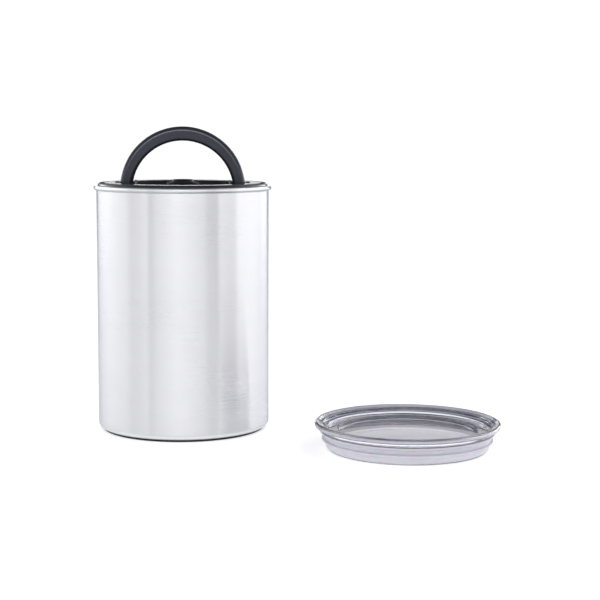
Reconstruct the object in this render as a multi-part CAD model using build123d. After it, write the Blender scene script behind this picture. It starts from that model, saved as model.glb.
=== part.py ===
from build123d import *
import os
import math

# Food canister with a plunger lid and a loose clear outer lid.
# Units are millimetres, +Z is up. The origin is the centre of the underside of
# the rubber base pad. The handle stands in the XZ plane and turns about X.

# ---------------------------------------------------------------- dimensions
# steel canister
RIM_TOP_Z = 178.0          # top of the rolled rim
BODY_R = 62.6              # outside of the wall
WALL_T = 0.6               # sheet thickness
CURL_R = 1.25              # outer radius of the rolled edge
CURL_DROP = 0.7            # straight part of the rolled edge
BASE_CORNER_R = 4.3        # outside corner between wall and floor
PAD_R = 58.9
PAD_T = 1.2

# plunger lid
LID_TOP_Z = 180.0          # top of the flange
LID_R = 61.6
FLANGE_ROUND = 1.8
WELL_R = 47.0              # inside of the well the handle folds into
WELL_FLOOR_Z = 169.5
LID_WALL = 2.0
FLANGE_LOW_Z = 171.0
LID_BOTTOM_Z = 158.0
PLATE_TOP_Z = 160.4        # the lower plate closes the skirt here
GROOVE_R = 57.6            # floor of the seal groove
SEAL_TIP_R = 61.7

# handle
PIVOT_Z = 174.9
HANDLE_OUT_R = 45.6
HANDLE_IN_R = 36.8
HANDLE_IN_Z = 173.4        # centre height of the inner arc
HANDLE_HALF_DEPTH = 4.5
HANDLE_OUT_ROUND = 3.1
HANDLE_IN_ROUND = 2.2
PIN_R = 2.0
PIN_CLEARANCE = 0.05

# pivot lugs
INNER_LUG_X0, INNER_LUG_X1 = 33.4, 34.6
INNER_LUG_TOP_Z = 181.9
OUTER_LUG_X0, OUTER_LUG_X1 = 46.1, 48.8
OUTER_LUG_TOP_Z = 180.9
LUG_HALF_W = 4.5

# valve
BOSS_R = 11.6
BOSS_TOP_Z = 180.2
BOSS_IN_R = 8.3
SEAT_Z = 174.5
SPIGOT_R = 9.0
PORT_R = 5.6
CAP_R = 7.8
CAP_TOP_Z = 182.3
STEM_R = 1.5
STEM_CLEARANCE = 0.06
HUB_LOW_Z, HUB_TOP_Z = 171.0, 173.0
CLIP_LOW_Z, CLIP_TOP_Z = 164.0, 164.8
STEM_END_Z = 163.2
SPRING_MEAN_R = 2.45
SPRING_WIRE_R = 0.23
SPRING_TURNS = 4.5

# clear outer lid, lying flat on the table beside the canister
OL_X, OL_Y = 156.5, -81.6
OL_TOP_Z = 19.0
OL_BEAD_LOW_Z = 15.4
OL_BEAD_R = 64.4
OL_SKIRT_R = 55.1
OL_SKIRT_T = 2.0

os.makedirs("parts", exist_ok=True)


def profile_face(points):
    """Closed profile in the XZ plane from (r, z) or (r, z, corner radius)."""
    pts = [(p[0], p[1], p[2] if len(p) > 2 else 0.0) for p in points]
    n = len(pts)
    segs = []
    for i in range(n):
        x0, z0, _ = pts[i - 1]
        x1, z1, rad = pts[i]
        x2, z2, _ = pts[(i + 1) % n]
        if rad <= 0:
            segs.append(((x1, z1), None, (x1, z1)))
            continue
        ax, az = x0 - x1, z0 - z1
        bx, bz = x2 - x1, z2 - z1
        la, lb = math.hypot(ax, az), math.hypot(bx, bz)
        ax, az, bx, bz = ax / la, az / la, bx / lb, bz / lb
        half = 0.5 * math.acos(max(-1.0, min(1.0, ax * bx + az * bz)))
        t = rad / math.tan(half)
        cx, cz = ax + bx, az + bz
        lc = math.hypot(cx, cz)
        cx, cz = cx / lc, cz / lc
        reach = rad / math.sin(half)
        mid = (x1 + cx * (reach - rad), z1 + cz * (reach - rad))
        segs.append(((x1 + ax * t, z1 + az * t), mid, (x1 + bx * t, z1 + bz * t)))
    edges = []
    for i in range(n):
        start, mid, end = segs[i]
        if mid is not None:
            edges.append(Edge.make_three_point_arc(
                Vector(start[0], 0, start[1]), Vector(mid[0], 0, mid[1]),
                Vector(end[0], 0, end[1])))
        nxt = segs[(i + 1) % n][0]
        if math.hypot(nxt[0] - end[0], nxt[1] - end[1]) > 1e-6:
            edges.append(Edge.make_line(Vector(end[0], 0, end[1]),
                                        Vector(nxt[0], 0, nxt[1])))
    return Face(Wire(edges))


def turned(points):
    """Solid of revolution about Z."""
    return Solid.revolve(profile_face(points), 360, Axis.Z)


def rod_x(radius, x0, x1, z=0.0, y=0.0):
    """Cylinder along X."""
    low, high = min(x0, x1), max(x0, x1)
    return Plane(origin=(low, y, z), z_dir=(1, 0, 0)) * Cylinder(
        radius, high - low, align=(Align.CENTER, Align.CENTER, Align.MIN))


def rod_z(radius, z0, z1, x=0.0, y=0.0):
    """Cylinder along Z."""
    return Pos(x, y, z0) * Cylinder(
        radius, z1 - z0, align=(Align.CENTER, Align.CENTER, Align.MIN))


def block(x0, x1, y0, y1, z0, z1):
    return Pos((x0 + x1) / 2, (y0 + y1) / 2, (z0 + z1) / 2) * Box(
        x1 - x0, y1 - y0, z1 - z0)


def single(shape):
    """The one solid a boolean result holds."""
    solids = shape.solids()
    assert len(solids) == 1, len(solids)
    return solids[0]


def save(shape, node):
    shape.label = node
    export_step(shape, "parts/%s.step" % node)


# ------------------------------------------------------------ canister_body
# One sheet: floor, rounded corner, wall and an edge rolled outward.
in_r = BODY_R - WALL_T
curl_cx = in_r + CURL_R
curl_hi = RIM_TOP_Z - CURL_R
curl_lo = curl_hi - CURL_DROP
curl_in = CURL_R - WALL_T


def ln(a, b):
    return Edge.make_line(Vector(a[0], 0, a[1]), Vector(b[0], 0, b[1]))


def arc3(a, m, b):
    return Edge.make_three_point_arc(Vector(a[0], 0, a[1]), Vector(m[0], 0, m[1]),
                                     Vector(b[0], 0, b[1]))


floor_out = PAD_T
floor_in = PAD_T + WALL_T
ro = BASE_CORNER_R
ri = BASE_CORNER_R - WALL_T
k = math.sqrt(0.5)
corner_x, corner_z = BODY_R - ro, floor_out + ro
shell_edges = [
    ln((0, floor_in), (0, floor_out)),
    ln((0, floor_out), (corner_x, floor_out)),
    arc3((corner_x, floor_out), (corner_x + ro * k, corner_z - ro * k), (BODY_R, corner_z)),
    ln((BODY_R, corner_z), (BODY_R, curl_hi)),
    arc3((BODY_R, curl_hi), (curl_cx, curl_hi + curl_in), (curl_cx + curl_in, curl_hi)),
    ln((curl_cx + curl_in, curl_hi), (curl_cx + curl_in, curl_lo)),
    arc3((curl_cx + curl_in, curl_lo), (curl_cx + curl_in * k, curl_lo - curl_in * k),
         (curl_cx, curl_lo - curl_in)),
    ln((curl_cx, curl_lo - curl_in), (curl_cx, curl_lo - CURL_R)),
    arc3((curl_cx, curl_lo - CURL_R), (curl_cx + CURL_R * k, curl_lo - CURL_R * k),
         (curl_cx + CURL_R, curl_lo)),
    ln((curl_cx + CURL_R, curl_lo), (curl_cx + CURL_R, curl_hi)),
    arc3((curl_cx + CURL_R, curl_hi), (curl_cx, curl_hi + CURL_R), (in_r, curl_hi)),
    ln((in_r, curl_hi), (in_r, corner_z)),
    arc3((in_r, corner_z), (corner_x + ri * k, corner_z - ri * k), (corner_x, floor_in)),
    ln((corner_x, floor_in), (0, floor_in)),
]
canister_body = Solid.revolve(Face(Wire(shell_edges)), 360, Axis.Z)
save(canister_body, "canister_body")

# ----------------------------------------------------------------- base_pad
# Flat rubber disc with three shallow grooves in its underside.
pad_pts = [(0, PAD_T), (0, 0)]
for g in (38.0, 46.0, 54.0):
    pad_pts += [(g - 0.8, 0), (g - 0.8, 0.5), (g + 0.8, 0.5), (g + 0.8, 0)]
pad_pts += [(PAD_R, 0, 0.3), (PAD_R, PAD_T)]
base_pad = turned(pad_pts)
save(base_pad, "base_pad")

# ------------------------------------------------------------ inner_lid_top
top = turned([
    (SPIGOT_R, WELL_FLOOR_Z),
    (WELL_R, WELL_FLOOR_Z, 1.2),
    (WELL_R, LID_TOP_Z, 0.5),
    (LID_R, LID_TOP_Z, FLANGE_ROUND),
    (LID_R, FLANGE_LOW_Z, 0.3),
    (LID_R - LID_WALL, FLANGE_LOW_Z),
    (LID_R - LID_WALL, LID_TOP_Z - LID_WALL),
    (GROOVE_R, LID_TOP_Z - LID_WALL),
    (GROOVE_R, PLATE_TOP_Z),
    (GROOVE_R - LID_WALL, PLATE_TOP_Z),
    (GROOVE_R - LID_WALL, LID_TOP_Z - LID_WALL, 0.8),
    (WELL_R + LID_WALL, LID_TOP_Z - LID_WALL, 0.8),
    (WELL_R + LID_WALL, WELL_FLOOR_Z - LID_WALL, 1.0),
    (SPIGOT_R, WELL_FLOOR_Z - LID_WALL),
])
for s in (-1, 1):
    # inner lug: a plate with a half-round top, and a foot rib behind it
    top_c = INNER_LUG_TOP_Z - LUG_HALF_W
    lug = block(min(s * INNER_LUG_X0, s * INNER_LUG_X1), max(s * INNER_LUG_X0, s * INNER_LUG_X1),
                -LUG_HALF_W, LUG_HALF_W, WELL_FLOOR_Z - 0.5, top_c)
    lug += rod_x(LUG_HALF_W, s * INNER_LUG_X0, s * INNER_LUG_X1, z=top_c)
    rib = Pos(0, 0, 0) * block(min(s * 29.4, s * INNER_LUG_X0), max(s * 29.4, s * INNER_LUG_X0),
                               -0.7, 0.7, WELL_FLOOR_Z - 0.5, WELL_FLOOR_Z + 1.8)
    # outer lug: grows out of the well wall
    olug = block(min(s * OUTER_LUG_X0, s * OUTER_LUG_X1), max(s * OUTER_LUG_X0, s * OUTER_LUG_X1),
                 -LUG_HALF_W, LUG_HALF_W, WELL_FLOOR_Z - 0.5, OUTER_LUG_TOP_Z)
    olug = fillet(olug.edges().filter_by(Axis.X).group_by(Axis.Z)[-1], 1.4)
    top = top + lug + rib + olug
    # pin bore through the inner lug, blind in the outer lug
    top = top - rod_x(PIN_R, s * (INNER_LUG_X0 - 0.1), s * 47.8, z=PIVOT_Z)
inner_lid_top = single(top)
save(inner_lid_top, "inner_lid_top")

# ----------------------------------------------------------- inner_lid_base
# Flat plate that closes the skirt, with ring ribs below and eight air holes.
plate_pts = [(0, LID_BOTTOM_Z + 0.6), (14.0, LID_BOTTOM_Z + 0.6)]
for g in (14.0, 28.0, 42.0):
    plate_pts += [(g, LID_BOTTOM_Z, 0.2), (g + 1.6, LID_BOTTOM_Z, 0.2), (g + 1.6, LID_BOTTOM_Z + 0.6)]
    if g < 42.0:
        plate_pts += [(g + 14.0, LID_BOTTOM_Z + 0.6)]
plate_pts += [
    (55.0, LID_BOTTOM_Z + 0.6),
    (55.0, LID_BOTTOM_Z, 0.2),
    (LID_R - 0.6, LID_BOTTOM_Z, 0.9),
    (LID_R - 0.6, PLATE_TOP_Z, 0.6),
    (0, PLATE_TOP_Z),
]
base = turned(plate_pts)
for i in range(8):
    a = math.radians(45 * i)
    base = base - rod_z(1.6, LID_BOTTOM_Z - 1, PLATE_TOP_Z + 1,
                        7.5 * math.cos(a), 7.5 * math.sin(a))
inner_lid_base = single(base)
save(inner_lid_base, "inner_lid_base")

# -------------------------------------------------------------- wiper_seal
z0 = PLATE_TOP_Z
wiper_seal = turned([
    (GROOVE_R + 0.02, z0 + 0.1),
    (59.4, z0 + 0.1),
    (59.4, z0 + 1.0, 0.4),
    (SEAL_TIP_R, z0 + 3.2, 0.15),
    (SEAL_TIP_R, z0 + 3.7, 0.15),
    (59.4, z0 + 2.4, 0.4),
    (59.4, z0 + 5.8, 0.4),
    (SEAL_TIP_R, z0 + 8.0, 0.15),
    (SEAL_TIP_R, z0 + 8.5, 0.15),
    (59.4, z0 + 7.2, 0.4),
    (59.4, FLANGE_LOW_Z - 0.1),
    (GROOVE_R + 0.02, FLANGE_LOW_Z - 0.1),
])
save(wiper_seal, "wiper_seal")

# ----------------------------------------------------------- pivot pins
for s, node in ((-1, "pivot_pin_left"), (1, "pivot_pin_right")):
    pin = rod_x(PIN_R, s * INNER_LUG_X0, s * 47.8, z=PIVOT_Z)
    head = rod_x(3.0, s * (INNER_LUG_X0 - 0.8), s * INNER_LUG_X0, z=PIVOT_Z)
    save(single(pin + head), node)

# ------------------------------------------------------------- valve_seat
seat = turned([
    (PORT_R, SEAT_Z),
    (BOSS_IN_R, SEAT_Z, 0.3),
    (BOSS_IN_R, BOSS_TOP_Z, 0.4),
    (BOSS_R, BOSS_TOP_Z, 0.9),
    (BOSS_R, WELL_FLOOR_Z),
    (SPIGOT_R, WELL_FLOOR_Z),
    (SPIGOT_R, WELL_FLOOR_Z - 3.2, 0.4),
    (PORT_R, WELL_FLOOR_Z - 3.2),
])
seat = seat + rod_z(3.4, HUB_LOW_Z, HUB_TOP_Z)
for i in range(3):
    seat = seat + Rot(0, 0, 120 * i) * block(0, PORT_R + 0.6, -0.8, 0.8, HUB_LOW_Z, HUB_TOP_Z)
seat = seat - rod_z(STEM_R + STEM_CLEARANCE, HUB_LOW_Z - 1, HUB_TOP_Z + 1)
valve_seat = single(seat)
save(valve_seat, "valve_seat")

# -------------------------------------------------------------- valve_cap
valve_cap = turned([
    (0, STEM_END_Z),
    (STEM_R, STEM_END_Z, 0.3),
    (STEM_R, SEAT_Z + 1.5),
    (CAP_R, SEAT_Z + 1.5, 0.3),
    (CAP_R, CAP_TOP_Z, 1.6),
    (5.4, CAP_TOP_Z, 0.4),
    (4.8, CAP_TOP_Z - 0.5, 0.3),
    (0, CAP_TOP_Z - 0.5),
])
save(valve_cap, "valve_cap")

# ------------------------------------------------------------- valve_disc
valve_disc = turned([
    (STEM_R + 0.02, SEAT_Z),
    (7.6, SEAT_Z, 0.3),
    (7.6, SEAT_Z + 1.5, 0.3),
    (STEM_R + 0.02, SEAT_Z + 1.5),
])
save(valve_disc, "valve_disc")

# ------------------------------------------------------------- valve_clip
clip = rod_z(3.3, CLIP_LOW_Z, CLIP_TOP_Z) - rod_z(STEM_R + 0.01, CLIP_LOW_Z - 1, CLIP_TOP_Z + 1)
clip = clip - block(0, 4, -0.7, 0.7, CLIP_LOW_Z - 1, CLIP_TOP_Z + 1)
save(single(clip), "valve_clip")

# ----------------------------------------------------------- valve_spring
spring_low = CLIP_TOP_Z + SPRING_WIRE_R
spring_high = HUB_LOW_Z - SPRING_WIRE_R
spring_len = spring_high - spring_low
path = Pos(0, 0, spring_low) * Helix(
    pitch=spring_len / SPRING_TURNS, height=spring_len, radius=SPRING_MEAN_R)
wire_face = Plane(origin=path @ 0, z_dir=path % 0) * Circle(SPRING_WIRE_R)
valve_spring = single(sweep(wire_face, path=path))
save(valve_spring, "valve_spring")

# ----------------------------------------------------------------- handle
# Half ring with a flat front and back, on two legs with round ends at the pivot.
hd = HANDLE_HALF_DEPTH
leg_low = PIVOT_Z - hd
arch_face = Face(Wire([
    arc3((-HANDLE_OUT_R, PIVOT_Z), (0, PIVOT_Z + HANDLE_OUT_R), (HANDLE_OUT_R, PIVOT_Z)),
    ln((HANDLE_OUT_R, PIVOT_Z), (HANDLE_OUT_R, leg_low)),
    ln((HANDLE_OUT_R, leg_low), (HANDLE_IN_R, leg_low)),
    ln((HANDLE_IN_R, leg_low), (HANDLE_IN_R, HANDLE_IN_Z)),
    arc3((HANDLE_IN_R, HANDLE_IN_Z), (0, HANDLE_IN_Z + HANDLE_IN_R), (-HANDLE_IN_R, HANDLE_IN_Z)),
    ln((-HANDLE_IN_R, HANDLE_IN_Z), (-HANDLE_IN_R, leg_low)),
    ln((-HANDLE_IN_R, leg_low), (-HANDLE_OUT_R, leg_low)),
    ln((-HANDLE_OUT_R, leg_low), (-HANDLE_OUT_R, PIVOT_Z)),
]))
arch = extrude(arch_face, hd, dir=(0, 1, 0), both=True)
side_face = Face(Wire([
    Edge.make_line(Vector(-60, -hd, PIVOT_Z + 60), Vector(-60, -hd, PIVOT_Z)),
    Edge.make_three_point_arc(Vector(-60, -hd, PIVOT_Z), Vector(-60, 0, leg_low),
                              Vector(-60, hd, PIVOT_Z)),
    Edge.make_line(Vector(-60, hd, PIVOT_Z), Vector(-60, hd, PIVOT_Z + 60)),
    Edge.make_line(Vector(-60, hd, PIVOT_Z + 60), Vector(-60, -hd, PIVOT_Z + 60)),
]))
handle = arch & extrude(side_face, 120, dir=(1, 0, 0))


def skin_edges(shape, radius):
    """The edges round the handle's outer or inner skin: its arch face and leg faces."""
    skin = []
    for f in shape.faces():
        c = f.center()
        if f.geom_type == GeomType.PLANE and abs(abs(c.X) - radius) < 0.01:
            skin.append(f)
        elif f.geom_type == GeomType.CYLINDER and abs(f.radius - radius) < 0.01:
            skin.append(f)
    found = []
    for f in skin:
        for e in f.edges():
            twin = [o for o in found if (o.center() - e.center()).length < 1e-4
                    and abs(o.length - e.length) < 1e-4]
            if twin:
                found.remove(twin[0])
            else:
                found.append(e)
    return found


handle = fillet(skin_edges(handle, HANDLE_OUT_R), HANDLE_OUT_ROUND)
handle = fillet(skin_edges(handle, HANDLE_IN_R), HANDLE_IN_ROUND)
for s in (-1, 1):
    handle = handle - rod_x(PIN_R + PIN_CLEARANCE, s * (HANDLE_IN_R - 2),
                            s * (HANDLE_OUT_R + 2), z=PIVOT_Z)
handle = single(handle)
save(handle, "handle")

# -------------------------------------------------------- outer_lid_shell
sk_in = OL_SKIRT_R - OL_SKIRT_T
outer_shell = Pos(OL_X, OL_Y, 0) * turned([
    (0, 9.2),
    (46.6, 9.2),
    (46.6, 11.0, 0.5),
    (sk_in, 11.0, 0.6),
    (sk_in, 0, 0.5),
    (OL_SKIRT_R, 0, 0.7),
    (OL_SKIRT_R, 12.9),
    (59.6, 12.9, 0.6),
    (60.2, OL_BEAD_LOW_Z, 0.4),
    (OL_BEAD_R, OL_BEAD_LOW_Z, 1.4),
    (OL_BEAD_R, OL_TOP_Z, 1.6),
    (61.6, OL_TOP_Z, 0.7),
    (61.4, 17.2, 0.5),
    (58.6, 17.0, 0.5),
    (58.3, 15.0, 0.5),
    (55.4, 15.0, 0.5),
    (55.2, 13.1, 0.5),
    (48.4, 13.1, 0.5),
    (48.2, 11.3, 0.5),
    (0, 11.3),
])
save(outer_shell, "outer_lid_shell")

# --------------------------------------------------------- outer_lid_seal
outer_seal = Pos(OL_X, OL_Y, 0) * turned([
    (OL_SKIRT_R + 0.02, 1.4),
    (56.2, 1.4, 0.4),
    (57.0, 5.0, 0.4),
    (59.2, 6.3, 0.4),
    (59.2, 7.1, 0.4),
    (57.3, 7.6, 0.4),
    (57.6, 10.0, 0.4),
    (60.4, 11.6, 0.4),
    (60.4, 12.4, 0.4),
    (58.4, 12.8),
    (OL_SKIRT_R + 0.02, 12.8),
])
save(outer_seal, "outer_lid_seal")
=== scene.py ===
import bpy
import math
from mathutils import Matrix, Vector


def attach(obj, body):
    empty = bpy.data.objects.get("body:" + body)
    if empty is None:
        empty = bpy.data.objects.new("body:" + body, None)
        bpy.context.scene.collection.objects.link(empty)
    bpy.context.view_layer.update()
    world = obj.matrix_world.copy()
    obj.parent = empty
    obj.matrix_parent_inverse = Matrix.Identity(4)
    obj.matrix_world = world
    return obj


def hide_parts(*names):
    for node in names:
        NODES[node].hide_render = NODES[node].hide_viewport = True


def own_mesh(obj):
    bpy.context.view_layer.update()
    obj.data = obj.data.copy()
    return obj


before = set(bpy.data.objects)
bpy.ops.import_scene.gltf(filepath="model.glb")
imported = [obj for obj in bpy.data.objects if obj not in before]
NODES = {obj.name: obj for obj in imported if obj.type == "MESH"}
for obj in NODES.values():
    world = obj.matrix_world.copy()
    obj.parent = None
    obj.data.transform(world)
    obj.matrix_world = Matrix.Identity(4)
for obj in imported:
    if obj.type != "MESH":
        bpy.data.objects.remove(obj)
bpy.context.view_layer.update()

# --------------------------------------------------------------- node helpers


class Mat:
    """A small builder for one procedural material."""

    def __init__(self, name):
        self.m = bpy.data.materials.new(name)
        self.m.use_nodes = True
        self.t = self.m.node_tree
        self.t.nodes.clear()
        self.out = self.t.nodes.new("ShaderNodeOutputMaterial")
        self.b = self.t.nodes.new("ShaderNodeBsdfPrincipled")
        self.t.links.new(self.b.outputs[0], self.out.inputs["Surface"])
        self.coord = self.t.nodes.new("ShaderNodeTexCoord")

    def set(self, **kw):
        for k, v in kw.items():
            self.b.inputs[k.replace("_", " ")].default_value = v
        return self

    def link(self, a, b):
        self.t.links.new(a, b)

    def node(self, kind):
        return self.t.nodes.new(kind)

    def obj(self):
        return self.coord.outputs["Object"]

    def scaled(self, sx, sy, sz, src=None):
        n = self.node("ShaderNodeVectorMath")
        n.operation = "MULTIPLY"
        self.link(src or self.obj(), n.inputs[0])
        n.inputs[1].default_value = (sx, sy, sz)
        return n.outputs[0]

    def noise(self, vec, scale=1.0, detail=3.0, rough=0.5):
        n = self.node("ShaderNodeTexNoise")
        n.inputs["Scale"].default_value = scale
        n.inputs["Detail"].default_value = detail
        n.inputs["Roughness"].default_value = rough
        self.link(vec, n.inputs["Vector"])
        return n.outputs[0]

    def voronoi(self, vec, scale=1.0):
        n = self.node("ShaderNodeTexVoronoi")
        n.inputs["Scale"].default_value = scale
        self.link(vec, n.inputs["Vector"])
        return n.outputs["Distance"]

    def ramp(self, fac, stops, interp="LINEAR"):
        n = self.node("ShaderNodeValToRGB")
        n.color_ramp.interpolation = interp
        while len(n.color_ramp.elements) < len(stops):
            n.color_ramp.elements.new(0.5)
        for e, (p, c) in zip(n.color_ramp.elements, stops):
            e.position = p
            e.color = tuple(c) + (1.0,) if len(c) == 3 else c
        self.link(fac, n.inputs[0])
        return n.outputs[0]

    def mapr(self, v, a, b, c, d):
        n = self.node("ShaderNodeMapRange")
        n.clamp = True
        self.link(v, n.inputs[0])
        n.inputs[1].default_value = a
        n.inputs[2].default_value = b
        n.inputs[3].default_value = c
        n.inputs[4].default_value = d
        return n.outputs[0]

    def math(self, op, a, b=None, c=None):
        n = self.node("ShaderNodeMath")
        n.operation = op
        for i, v in enumerate((a, b, c)):
            if v is None:
                continue
            if isinstance(v, (int, float)):
                n.inputs[i].default_value = v
            else:
                self.link(v, n.inputs[i])
        return n.outputs[0]

    def mixc(self, fac, a, b, blend="MIX"):
        n = self.node("ShaderNodeMix")
        n.data_type = "RGBA"
        n.blend_type = blend
        for sock, v in ((n.inputs[0], fac), (n.inputs[6], a), (n.inputs[7], b)):
            if isinstance(v, (int, float)):
                sock.default_value = v
            elif isinstance(v, tuple):
                sock.default_value = v + (1.0,) if len(v) == 3 else v
            else:
                self.link(v, sock)
        return n.outputs[2]

    def sep(self, src=None):
        n = self.node("ShaderNodeSeparateXYZ")
        self.link(src or self.obj(), n.inputs[0])
        return n.outputs

    def bump(self, height, strength, distance, normal=None):
        n = self.node("ShaderNodeBump")
        n.inputs["Strength"].default_value = strength
        n.inputs["Distance"].default_value = distance
        self.link(height, n.inputs["Height"])
        if normal is not None:
            self.link(normal, n.inputs["Normal"])
        return n.outputs[0]

    def into(self, socket, name):
        self.link(socket, self.b.inputs[name])


def brushed_steel(name, tint=(0.62, 0.622, 0.634)):
    """Sheet steel brushed round the axis, unbrushed on the rolled rim, which carries a painted highlight on top and
    painted shade below.
    """
    m = Mat(name)
    m.set(Metallic=1.0, Anisotropic=1.0)
    m.b.inputs["Anisotropic Rotation"].default_value = 0.25
    m.b.inputs["Specular Tint"].default_value = (0.635, 0.655, 0.685, 1.0)
    tan = m.node("ShaderNodeTangent")
    tan.direction_type = "RADIAL"
    tan.axis = "Z"
    m.link(tan.outputs[0], m.b.inputs["Tangent"])
    fine = m.noise(m.scaled(26, 26, 5200), 1.0, 2.0, 0.6)
    lines = m.noise(m.scaled(14, 14, 1500), 1.0, 3.0, 0.65)
    bands = m.noise(m.scaled(5, 5, 210), 1.0, 3.0, 0.6)
    smudge = m.noise(m.scaled(1, 1, 1), 22.0, 4.0, 0.6)
    grain = m.math("MULTIPLY_ADD", fine, 0.45, m.math("MULTIPLY", lines, 0.55))
    x, y, z = m.sep()
    rim = m.mapr(z, 0.17455, 0.17485, 0.0, 1.0)
    keep = m.math("SUBTRACT", 1.0, rim)
    shade = m.mapr(grain, 0.35, 0.65, 0.975, 1.02)
    shade = m.math("MULTIPLY", shade, m.mapr(bands, 0.3, 0.7, 0.992, 1.008))
    shade = m.math("MULTIPLY", shade, m.mapr(smudge, 0.35, 0.75, 1.0, 0.985))
    # painted crease shadow at the very foot, and a painted highlight on the turn just above it
    foot = m.mapr(z, 0.0014, 0.0024, 0.22, 1.0)
    turn = m.math("SUBTRACT", m.mapr(z, 0.0020, 0.0028, 0.0, 1.0), m.mapr(z, 0.0036, 0.0050, 0.0, 1.0))
    shade = m.math("MULTIPLY", shade, m.math("MULTIPLY", foot, m.math("MULTIPLY_ADD", turn, 0.28, 1.0)))
    # painted highlight on the top of the rolled rim, painted shade on its lower half
    rim_painted_highlight_and_shade = m.mapr(z, 0.1760, 0.1775, 0.80, 1.62)
    shade = m.math("ADD", m.math("MULTIPLY", shade, keep), m.math("MULTIPLY", rim, rim_painted_highlight_and_shade))
    col = m.node("ShaderNodeVectorMath")
    col.operation = "SCALE"
    col.inputs[0].default_value = tint
    m.link(shade, col.inputs["Scale"])
    m.into(col.outputs[0], "Base Color")
    rough = m.math("ADD", m.mapr(grain, 0.3, 0.7, 0.235, 0.28), m.mapr(smudge, 0.5, 0.8, 0.0, 0.025))
    rough = m.math("ADD", m.math("MULTIPLY", rough, keep), m.math("MULTIPLY", rim, 0.3))
    m.into(rough, "Roughness")
    m.into(m.bump(m.math("MULTIPLY", grain, keep), 0.024, 0.00006), "Normal")
    return m.m


def moulded(name, dark, light, rough=(0.3, 0.42), grain_mm=0.25, bump=0.06, coat=0.0, spec=0.5, scuff=0.25,
            tint=(0.86, 0.88, 1.0), flat_top=None, lug_painted_highlight=None, crest_painted_highlight=None):
    """Moulded plastic: fine spark texture, slow colour drift, a few light scuffs."""
    m = Mat(name)
    m.set(Coat_Weight=coat, Coat_Roughness=0.12, Specular_IOR_Level=spec, Specular_Tint=tint + (1.0,))
    m.b.inputs["IOR"].default_value = 1.5
    k = 1000.0 / grain_mm
    spark = m.noise(m.scaled(k, k, k), 1.0, 2.0, 0.55)
    drift = m.noise(m.obj(), 45.0, 3.0, 0.55)
    scratch = m.noise(m.scaled(900, 90, 420), 1.0, 4.0, 0.7)
    scratch = m.mapr(scratch, 0.66, 0.74, 0.0, 1.0)
    patch = m.mapr(m.noise(m.obj(), 60.0, 2.0, 0.5), 0.52, 0.7, 0.0, scuff)
    scratch = m.math("MULTIPLY", scratch, patch)
    base = m.mixc(m.mapr(drift, 0.3, 0.7, 0.0, 1.0), dark, light)
    lighter = tuple(min(1.0, c * 1.7 + 0.01) for c in light)
    base = m.mixc(scratch, base, lighter)
    x, y, z = m.sep()
    if lug_painted_highlight is not None:
        # painted highlight: the inner lug faces beside the handle legs are lightened where they catch the light
        ax = m.math("ABSOLUTE", x)
        here = m.math("MULTIPLY", m.mapr(ax, lug_painted_highlight[0] - 0.0001, lug_painted_highlight[0] + 0.0001, 0.0, 1.0), m.mapr(ax, lug_painted_highlight[1] - 0.0001, lug_painted_highlight[1] + 0.0001, 1.0, 0.0))
        here = m.math("MULTIPLY", here, m.mapr(m.math("ABSOLUTE", y), 0.0048, 0.005, 1.0, 0.0))
        base = m.mixc(here, base, (0.13, 0.13, 0.145))
    if crest_painted_highlight is not None:
        # painted highlight: a pale line along the shoulders of the arch, lit where the rounded edge turns up
        cz, cr = crest_painted_highlight
        dz = m.math("SUBTRACT", z, cz)
        rad = m.math("SQRT", m.math("ADD", m.math("MULTIPLY", x, x), m.math("MULTIPLY", dz, dz)))
        near = m.mapr(m.math("ABSOLUTE", m.math("SUBTRACT", rad, cr)), 0.0001, 0.0006, 1.0, 0.0)
        near = m.math("MULTIPLY", near, m.mapr(dz, 0.014, 0.040, 0.0, 1.0))
        near = m.math("MULTIPLY", near, m.mapr(m.noise(m.obj(), 120.0, 3.0, 0.6), 0.3, 0.6, 0.45, 0.8))
        near = m.math("MULTIPLY", near, m.mapr(m.math("ABSOLUTE", y), 0.0030, 0.0036, 0.0, 1.0))
        base = m.mixc(near, base, (0.19, 0.19, 0.235))
    m.into(base, "Base Color")
    r = m.mapr(m.math("MULTIPLY_ADD", spark, 0.5, m.math("MULTIPLY", drift, 0.5)), 0.35, 0.65, rough[0], rough[1])
    r = m.math("ADD", r, m.math("MULTIPLY", scratch, 0.12))
    normal = m.bump(spark, bump, 0.0002)
    if flat_top is not None:
        on_top = m.mapr(z, flat_top[0] - 0.0002, flat_top[0] - 0.0001, 0.0, 1.0)
        wide = m.math("SQRT", m.math("ADD", m.math("MULTIPLY", x, x), m.math("MULTIPLY", y, y)))
        outer = m.mapr(wide, flat_top[3] - 0.0006, flat_top[3] + 0.0006, 0.0, 1.0)
        r = m.math("ADD", m.math("MULTIPLY", r, m.math("SUBTRACT", 1.0, on_top)), m.math("MULTIPLY", on_top, m.mapr(outer, 0.0, 1.0, flat_top[1], 0.6)))
        normal = m.bump(m.math("MULTIPLY", m.math("MULTIPLY", spark, on_top), m.mapr(outer, 0.0, 1.0, flat_top[2], 0.45)), 1.0, 0.0003, normal)
    m.into(r, "Roughness")
    m.into(normal, "Normal")
    return m.m


def rubber(name, col, rough=(0.55, 0.75)):
    m = Mat(name)
    m.b.inputs["IOR"].default_value = 1.48
    m.set(Specular_IOR_Level=0.25, Sheen_Weight=0.03, Sheen_Roughness=0.5)
    n1 = m.noise(m.scaled(2600, 2600, 2600), 1.0, 3.0, 0.6)
    n2 = m.noise(m.obj(), 70.0, 3.0, 0.6)
    dust = m.mapr(n2, 0.55, 0.8, 0.0, 0.35)
    m.into(m.mixc(dust, col, tuple(c * 1.6 + 0.006 for c in col)), "Base Color")
    m.into(m.mapr(n1, 0.3, 0.7, rough[0], rough[1]), "Roughness")
    m.into(m.bump(n1, 0.12, 0.00015), "Normal")
    return m.m


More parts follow.
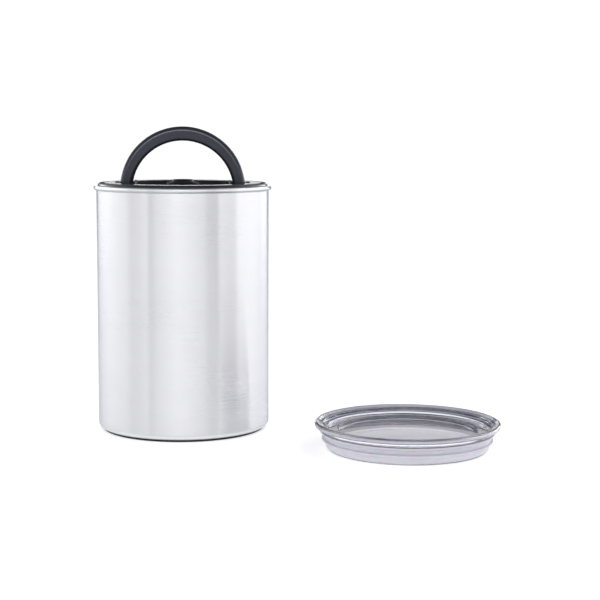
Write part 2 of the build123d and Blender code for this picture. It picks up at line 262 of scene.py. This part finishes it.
def clear_plastic(name):
    """Clear polished moulding with a faint cool smoke in the thickness."""
    m = Mat(name)
    m.set(Transmission_Weight=1.0, Specular_IOR_Level=0.5)
    m.b.inputs["IOR"].default_value = 1.54
    n = m.noise(m.obj(), 30.0, 3.0, 0.5)
    hair = m.noise(m.scaled(1400, 120, 700), 1.0, 4.0, 0.7)
    hair = m.mapr(hair, 0.68, 0.76, 0.0, 1.0)
    z = m.sep()[2]
    tone = m.mixc(m.mapr(n, 0.3, 0.7, 0.0, 1.0), (0.785, 0.780, 0.835), (0.82, 0.815, 0.87))
    # painted shadow: a near-black band in the clear plastic just below the bead
    painted_shadow_below_bead = m.math("SUBTRACT", m.mapr(z, 0.0146, 0.0150, 0.0, 1.0), m.mapr(z, 0.0158, 0.0166, 0.0, 1.0))
    # painted shade: above the bead's foot the plastic is greyed half-way to a mid lavender-grey, in place of the tone
    # the clear bead gets from light through it
    tone = m.mixc(m.mapr(z, 0.0150, 0.0154, 0.0, 0.5), tone, (0.44, 0.435, 0.51))
    m.into(m.mixc(m.math("MULTIPLY", painted_shadow_below_bead, 0.95), tone, (0.10, 0.10, 0.16)), "Base Color")
    x, y, _ = m.sep()
    dx, dy = m.math("SUBTRACT", x, 0.1565), m.math("SUBTRACT", y, -0.0816)
    rad = m.math("SQRT", m.math("ADD", m.math("MULTIPLY", dx, dx), m.math("MULTIPLY", dy, dy)))
    # painted shade: the outer bead band keeps only 40% transmission, so it reads as a pale grey skin
    outer = m.math("MULTIPLY", m.mapr(rad, 0.0622, 0.063, 0.0, 1.0), m.mapr(z, 0.0142, 0.0148, 0.0, 1.0))
    bead_painted_grey_skin = m.math("MULTIPLY", outer, m.mapr(z, 0.0186, 0.0176, 0.0, 1.0))
    m.into(m.math("SUBTRACT", 1.0, m.math("MULTIPLY", bead_painted_grey_skin, 0.6)), "Transmission Weight")
    m.into(m.math("ADD", m.mapr(n, 0.35, 0.75, 0.015, 0.04), m.math("MULTIPLY", hair, 0.05)), "Roughness")
    m.into(m.bump(m.noise(m.obj(), 55.0, 1.0, 0.4), 0.02, 0.0006), "Normal")
    return m.m


def silicone(name, col, trans=0.35, rough=(0.38, 0.52), shade_z=None):
    """Translucent silicone with a dusty bloom."""
    m = Mat(name)
    m.b.inputs["IOR"].default_value = 1.41
    m.set(Transmission_Weight=trans, Specular_IOR_Level=0.45, Subsurface_Weight=0.35, Subsurface_Scale=0.003,
          Sheen_Weight=0.05, Sheen_Roughness=0.6)
    n1 = m.noise(m.obj(), 90.0, 4.0, 0.6)
    n2 = m.noise(m.scaled(1800, 1800, 1800), 1.0, 2.0, 0.5)
    tone = m.mixc(m.mapr(n1, 0.35, 0.7, 0.0, 1.0), col, tuple(min(1.0, c * 1.06) for c in col))
    if shade_z is not None:
        z = m.sep()[2]
        tone = m.mixc(m.mapr(z, shade_z[0], shade_z[1], 0.0, 0.6), tone, tuple(c * 0.35 for c in col))
    m.into(tone, "Base Color")
    m.into(m.mapr(n2, 0.3, 0.7, rough[0], rough[1]), "Roughness")
    m.into(m.bump(n2, 0.05, 0.00015), "Normal")
    return m.m


def polished_metal(name, col=(0.62, 0.62, 0.64)):
    m = Mat(name)
    m.set(Metallic=1.0)
    n = m.noise(m.scaled(2500, 900, 900), 1.0, 3.0, 0.6)
    m.into(m.mixc(m.mapr(n, 0.3, 0.7, 0.0, 1.0), col, tuple(c * 1.08 for c in col)), "Base Color")
    m.into(m.mapr(n, 0.3, 0.7, 0.12, 0.24), "Roughness")
    m.into(m.bump(n, 0.05, 0.0001), "Normal")
    return m.m


def give(material, *names):
    for n in names:
        o = NODES[n]
        o.data.materials.clear()
        o.data.materials.append(material)


give(brushed_steel("steel_brushed"), "canister_body")
give(rubber("pad_rubber_black", (0.006, 0.006, 0.007)), "base_pad")
give(moulded("lid_plastic_dark", (0.008, 0.008, 0.010), (0.013, 0.013, 0.016), rough=(0.16, 0.24), bump=0.03, flat_top=(0.180, 0.25, 0.06, 0.0572), lug_painted_highlight=(0.0332, 0.0348)), "inner_lid_top", "inner_lid_base")
give(moulded("seat_plastic_dark", (0.007, 0.007, 0.009), (0.011, 0.011, 0.014), rough=(0.5, 0.6), bump=0.03, spec=0.12, flat_top=(0.1802, 0.42, 0.10, 0.0105)), "valve_seat")
give(moulded("cap_plastic_black", (0.005, 0.005, 0.006), (0.008, 0.008, 0.010), rough=(0.4, 0.5), bump=0.02, spec=0.2), "valve_cap")
give(moulded("handle_plastic_satin", (0.012, 0.012, 0.017), (0.017, 0.017, 0.024), rough=(0.17, 0.24), grain_mm=0.3, bump=0.05, spec=0.42, crest_painted_highlight=(0.1749, 0.04295)), "handle")
give(silicone("wiper_silicone_grey", (0.10, 0.10, 0.11), trans=0.0), "wiper_seal", "valve_disc")
pin_steel = polished_metal("pin_steel_polished")
give(pin_steel, "pivot_pin_left", "pivot_pin_right", "valve_spring", "valve_clip")
give(clear_plastic("lid_clear_plastic"), "outer_lid_shell")
give(silicone("lid_seal_translucent", (0.56, 0.56, 0.61), trans=0.08, shade_z=(0.0125, 0.0150)), "outer_lid_seal")

# -------------------------------------------------------------- return spring
# The coil shortens as the valve rises; the shown coil is its own piece,
# wound from the clip up to the hub and carried by the inner lid.
HUB_Z, CLIP_Z = 0.1710, 0.1648
COIL_R, WIRE_R, TURNS = 0.00245, 0.00023, 4.5
STEPS, SIDES = 216, 14

coil_low = CLIP_Z + WIRE_R
coil_rise = (HUB_Z - WIRE_R - coil_low) / (2 * math.pi * TURNS)
verts, faces = [], []
for i in range(STEPS + 1):
    a = 2 * math.pi * TURNS * i / STEPS
    out = Vector((math.cos(a), math.sin(a), 0.0))
    along = Vector((-COIL_R * math.sin(a), COIL_R * math.cos(a), coil_rise)).normalized()
    side = along.cross(out)
    middle = COIL_R * out + Vector((0.0, 0.0, coil_low + coil_rise * a))
    for k in range(SIDES):
        b = 2 * math.pi * k / SIDES
        verts.append(middle + WIRE_R * (math.cos(b) * out + math.sin(b) * side))
for i in range(STEPS):
    for k in range(SIDES):
        n = (k + 1) % SIDES
        faces.append((i * SIDES + k, i * SIDES + n, (i + 1) * SIDES + n, (i + 1) * SIDES + k))
faces.append(tuple(reversed(range(SIDES))))
faces.append(tuple(STEPS * SIDES + k for k in range(SIDES)))
coil_mesh = bpy.data.meshes.new("valve_spring_coil")
coil_mesh.from_pydata([tuple(v) for v in verts], [], faces)
for f in coil_mesh.polygons:
    f.use_smooth = len(f.vertices) == 4
coil_mesh.materials.append(pin_steel)
coil = bpy.data.objects.new("valve_spring_coil", coil_mesh)
bpy.context.scene.collection.objects.link(coil)
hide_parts("valve_spring")
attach(coil, "inner_lid")
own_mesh(coil)

# --------------------------------------------------------------------- camera
cam_data = bpy.data.cameras.new("camera")
cam = bpy.data.objects.new("camera", cam_data)
bpy.context.scene.collection.objects.link(cam)
bpy.context.scene.camera = cam
CAM_POS = Vector((0.0332, -1.1, 0.22316))
YAW, PITCH, ROLL = 0.0477, 0.1171, 0.0038
FOCAL_PX = 1503.59
cam_data.sensor_fit = "HORIZONTAL"
cam_data.sensor_width = 36.0
cam_data.lens = FOCAL_PX * 36.0 / 600.0
cam_data.clip_start = 0.01
cam_data.clip_end = 100.0
cam_data.dof.use_dof = False
fwd = Vector((math.cos(PITCH) * math.sin(YAW), math.cos(PITCH) * math.cos(YAW), -math.sin(PITCH)))
right = Vector((math.cos(YAW), -math.sin(YAW), 0.0))
up = right.cross(fwd)
r2 = right * math.cos(ROLL) + up * math.sin(ROLL)
u2 = up * math.cos(ROLL) - right * math.sin(ROLL)
rot = Matrix((r2, u2, -fwd)).transposed()
cam.matrix_world = Matrix.Translation(CAM_POS) @ rot.to_4x4()

# ------------------------------------------------------------ floor and light


def stage_floor():
    me = bpy.data.meshes.new("stage_floor")
    n, r = 96, 6.0
    verts = [(0, 0, 0)] + [(r * math.cos(2 * math.pi * i / n), r * math.sin(2 * math.pi * i / n), 0) for i in range(n)]
    me.from_pydata(verts, [], [(0, 1 + i, 1 + (i + 1) % n) for i in range(n)])
    o = bpy.data.objects.new("stage_floor", me)
    bpy.context.scene.collection.objects.link(o)
    m = Mat("floor_pale")
    n1 = m.noise(m.obj(), 3.0, 3.0, 0.5)
    m.into(m.mixc(m.mapr(n1, 0.3, 0.7, 0.0, 1.0), (0.86, 0.86, 0.86), (0.875, 0.875, 0.875)), "Base Color")
    m.set(Roughness=0.75, Specular_IOR_Level=0.15, Emission_Color=(1.0, 1.0, 1.0, 1.0), Emission_Strength=0.46)
    o.data.materials.append(m.m)
    return o


stage_floor()


def area(name, loc, aim, w, h, power, col=(1, 1, 1)):
    d = bpy.data.lights.new(name, "AREA")
    d.shape = "RECTANGLE"
    d.size, d.size_y = w, h
    d.energy = power
    d.color = col
    o = bpy.data.objects.new(name, d)
    bpy.context.scene.collection.objects.link(o)
    o.location = loc
    o.rotation_mode = "QUATERNION"
    o.rotation_quaternion = (Vector(aim) - Vector(loc)).to_track_quat("-Z", "Y")
    return o


# World: a light tent whose brightness depends on direction, as tall panels with
# greyer gaps between them.
world = bpy.data.worlds.new("studio")
bpy.context.scene.world = world
world.use_nodes = True
wt = world.node_tree
wt.nodes.clear()
w_out = wt.nodes.new("ShaderNodeOutputWorld")
bg = wt.nodes.new("ShaderNodeBackground")
wt.links.new(bg.outputs[0], w_out.inputs[0])
tc = wt.nodes.new("ShaderNodeTexCoord")
sp = wt.nodes.new("ShaderNodeSeparateXYZ")
wt.links.new(tc.outputs["Generated"], sp.inputs[0])


def wmath(op, a, b=None, c=None):
    n = wt.nodes.new("ShaderNodeMath")
    n.operation = op
    for i, v in enumerate((a, b, c)):
        if v is None:
            continue
        if isinstance(v, (int, float)):
            n.inputs[i].default_value = v
        else:
            wt.links.new(v, n.inputs[i])
    return n.outputs[0]


# Azimuth of the direction about +Z: 0.5 is towards the front (-Y), rising to the
# right (+X); 0 and 1 meet behind the object.
az = wmath("ARCTAN2", sp.outputs[0], wmath("MULTIPLY", sp.outputs[1], -1.0))
az01 = wmath("MULTIPLY_ADD", az, 1.0 / (2 * math.pi), 0.5)
PANELS = [
    (0.0680, 0.950),
    (0.0880, 2.000),
    (0.1944, 1.340),
    (0.2422, 1.078),
    (0.2783, 0.987),
    (0.2927, 0.809),
    (0.2997, 0.678),
    (0.3332, 0.781),
    (0.3626, 0.971),
    (0.3708, 0.926),
    (0.3789, 0.546),
    (0.3869, 0.624),
    (0.4065, 0.898),
    (0.4334, 1.032),
    (0.4636, 1.195),
    (0.4822, 1.272),
    (0.5378, 1.096),
    (0.5641, 0.981),
    (0.5830, 0.931),
    (0.5945, 0.673),
    (0.6180, 0.623),
    (0.6319, 0.545),
    (0.6420, 1.100),
    (0.6842, 0.943),
    (0.7090, 0.913),
    (0.7231, 1.364),
    (0.7504, 1.320),
    (0.8011, 1.421),
    (0.8497, 1.423),
    (0.9136, 2.500),
    (0.9380, 2.600),
    (0.9460, 0.950),
]
wr = wt.nodes.new("ShaderNodeValToRGB")
while len(wr.color_ramp.elements) < len(PANELS):
    wr.color_ramp.elements.new(0.5)
for e, (p, v) in zip(wr.color_ramp.elements, PANELS):
    e.position = p
    e.color = (v * 0.992, v * 0.988, v * 1.02, 1.0)
wt.links.new(az01, wr.inputs[0])
# a brighter strip above eye level, and a dark ceiling over it
top = wt.nodes.new("ShaderNodeValToRGB")
ELEV = [(0.0, 0.9), (0.045, 0.9), (0.06, 2.4), (0.24, 2.4), (0.3, 0.9), (0.6, 0.6), (0.8, 0.3), (1.0, 0.2)]
while len(top.color_ramp.elements) < len(ELEV):
    top.color_ramp.elements.new(0.5)
for e, (p, v) in zip(top.color_ramp.elements, ELEV):
    e.position = p
    e.color = (v, v, v, 1.0)
wt.links.new(sp.outputs[2], top.inputs[0])
# behind the object the tent narrows to a white sheet between two dark cards,
# with nothing lit above it


def wstep(v, lo, hi):
    t = wmath("MULTIPLY_ADD", v, 1.0 / (hi - lo), -lo / (hi - lo))
    return wmath("MINIMUM", wmath("MAXIMUM", t, 0.0), 1.0)


off = wmath("ABSOLUTE", wmath("SUBTRACT", az01, 0.5))
behind = wstep(off, 0.4655, 0.4685)
cards = wmath("SUBTRACT", wstep(off, 0.4250, 0.4300), behind)
shut = wmath("MAXIMUM", wmath("MULTIPLY", cards, wstep(sp.outputs[2], 0.75, 0.6)), wmath("MULTIPLY", behind, wstep(sp.outputs[2], 0.15, 0.22)))
keep_light = wmath("MULTIPLY_ADD", shut, -0.92, 1.0)
level = wmath("MULTIPLY", top.outputs[0], keep_light)
sc_ = wt.nodes.new("ShaderNodeVectorMath")
sc_.operation = "SCALE"
wt.links.new(wr.outputs[0], sc_.inputs[0])
wt.links.new(level, sc_.inputs["Scale"])
lp = wt.nodes.new("ShaderNodeLightPath")
mx = wt.nodes.new("ShaderNodeMix")
mx.data_type = "RGBA"
wt.links.new(lp.outputs["Is Camera Ray"], mx.inputs[0])
wt.links.new(sc_.outputs[0], mx.inputs[6])
mx.inputs[7].default_value = (1.05, 1.05, 1.05, 1.0)
wt.links.new(mx.outputs[2], bg.inputs[0])
bg.inputs[1].default_value = 1.0

key = area("key_left", (-1.3, -1.0, 1.3), (0.05, 0, 0.08), 1.2, 1.2, 6.0)
fill = area("fill_right", (1.5, -0.8, 1.1), (0.05, 0, 0.08), 1.0, 1.0, 3.0)
over = area("overhead", (0.1, 0.2, 2.6), (0.1, 0.0, 0.0), 4.0, 4.0, 12.0)
for lamp in (key, fill, over):
    lamp.visible_glossy = False
    lamp.visible_camera = False
    lamp.visible_transmission = False

scene = bpy.context.scene
scene.view_settings.view_transform = "Standard"
scene.view_settings.look = "None"
